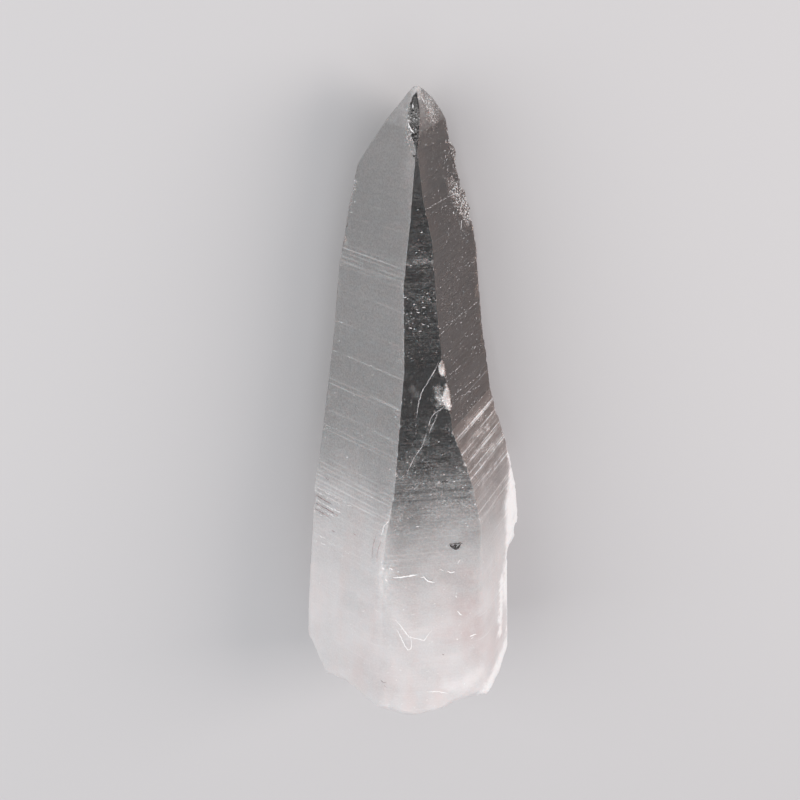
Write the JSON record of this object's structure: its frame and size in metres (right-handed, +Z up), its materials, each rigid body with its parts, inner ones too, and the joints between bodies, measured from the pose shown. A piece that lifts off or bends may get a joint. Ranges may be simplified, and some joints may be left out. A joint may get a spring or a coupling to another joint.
{
  "type": "lemurian quartz crystal",
  "caption": "Long tapering six-sided quartz point with ladder-like growth ledges, lying on its broad back face: a loose mineral specimen for a shelf, table or hand.",
  "frame": {"origin": "centre of the bounding box's footprint, on the surface that the crystal lies on", "axes": "+Y along the crystal from its broken root to its tip, +Z up out of the narrow top face, +X across"},
  "size_m": [0.044, 0.123, 0.0336],
  "materials": {
    "quartz": "clear to milky quartz, satin side faces with fine growth lines, clear dark top face, milky white broken root"
  },
  "bodies": {
    "root": {"crystal": "quartz"}
  },
  "joints": []
}
